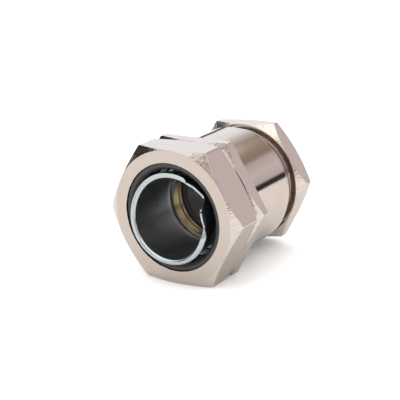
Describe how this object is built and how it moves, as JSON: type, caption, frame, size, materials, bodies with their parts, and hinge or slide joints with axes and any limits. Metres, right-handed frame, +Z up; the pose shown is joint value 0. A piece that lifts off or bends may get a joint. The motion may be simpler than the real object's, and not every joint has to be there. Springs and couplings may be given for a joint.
{
  "type": "cable gland",
  "caption": "Nickel-plated brass cable gland for flexible metal hose: threaded entry body, screw-on seal body, rubber seal, steel hose ferrule, clamp ring and hexagonal compression nut.",
  "frame": {"origin": "centre of the threaded entry's end face, on the gland's axis", "axes": "+X along the axis, out of the threaded entry; the hose end is at negative X; +Z up, square to a flat of the two large hexagons"},
  "size_m": [0.0518, 0.0484, 0.042],
  "materials": {
    "nickel_plate": "bright turned nickel plate",
    "zinc_steel": "bright zinc plate",
    "bare_brass": "turned",
    "black_rubber": "matte",
    "black_plastic": "satin"
  },
  "bodies": {
    "entry": {"entry_body": "nickel_plate", "entry_gasket": "black_rubber", "cable_seal": "black_rubber"},
    "washer": {"slip_washer": "bare_brass"},
    "body": {"gland_body": "nickel_plate"},
    "ferrule": {"hose_ferrule": "zinc_steel"},
    "clamp": {"clamp_ring": "black_plastic"},
    "nut": {"compression_nut": "nickel_plate"}
  },
  "joints": [
    {"name": "body_advance", "type": "slide", "parent": "entry", "child": "washer", "axis": [1, 0, 0], "range_m": [-0.01125, 0.0045], "deforming": ["cable_seal"]},
    {"name": "body_screw", "type": "hinge", "parent": "washer", "child": "body", "pos_m": [-0.03, 0, 0], "axis": [1, 0, 0], "range_deg": [-2700, 1080]},
    {"name": "ferrule_turn", "type": "hinge", "parent": "body", "child": "ferrule", "pos_m": [-0.04, 0, 0], "axis": [1, 0, 0], "continuous": true},
    {"name": "nut_advance", "type": "slide", "parent": "body", "child": "clamp", "axis": [1, 0, 0], "range_m": [-0.0051, 0.0003]},
    {"name": "nut_screw", "type": "hinge", "parent": "clamp", "child": "nut", "pos_m": [-0.0427, 0, 0], "axis": [1, 0, 0], "range_deg": [-1224, 72]}
  ],
  "couplings": [
    {"joint": "body_advance", "follows": "body_screw", "m_per_rad": 0.00023873},
    {"joint": "nut_advance", "follows": "nut_screw", "m_per_rad": 0.00023873}
  ]
}
